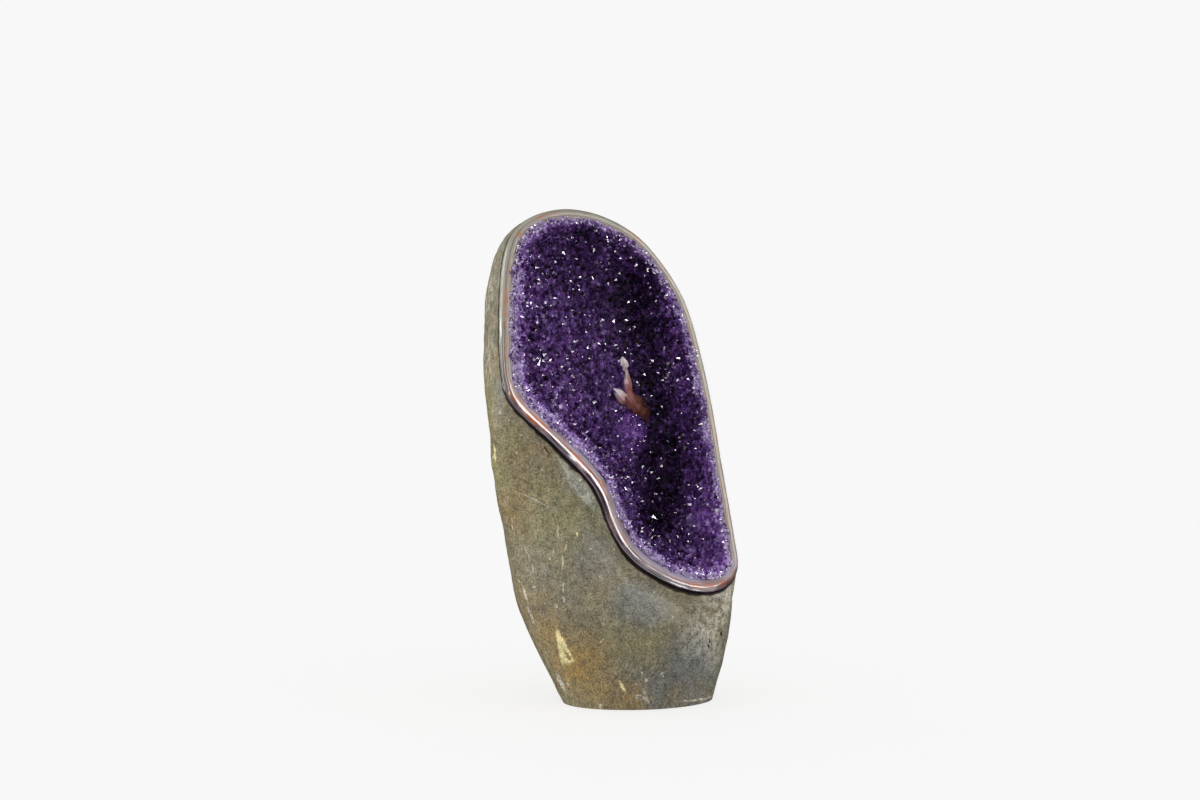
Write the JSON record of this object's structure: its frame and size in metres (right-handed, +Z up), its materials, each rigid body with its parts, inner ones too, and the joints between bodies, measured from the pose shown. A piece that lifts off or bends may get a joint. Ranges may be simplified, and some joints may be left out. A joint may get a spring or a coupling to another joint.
{
  "type": "amethyst geode",
  "caption": "Amethyst geode ground to stand upright: basalt rind on a sawn flat base, polished agate rim, and an open hollow lined with purple quartz crystals.",
  "frame": {"origin": "centre of the sawn base, on the surface it stands on", "axes": "+Z up from the base to the top, the open face looks towards -Y and leans back, +X to the right of someone facing it"},
  "size_m": [0.1151, 0.0867, 0.2154],
  "materials": {
    "basalt": "sanded, slightly glossy, stained",
    "agate": "polished, banded",
    "amethyst": "glassy crystal faces"
  },
  "bodies": {
    "root": {"basalt_rind": "basalt", "agate_lining": "agate", "amethyst_crust": "amethyst"}
  },
  "joints": []
}
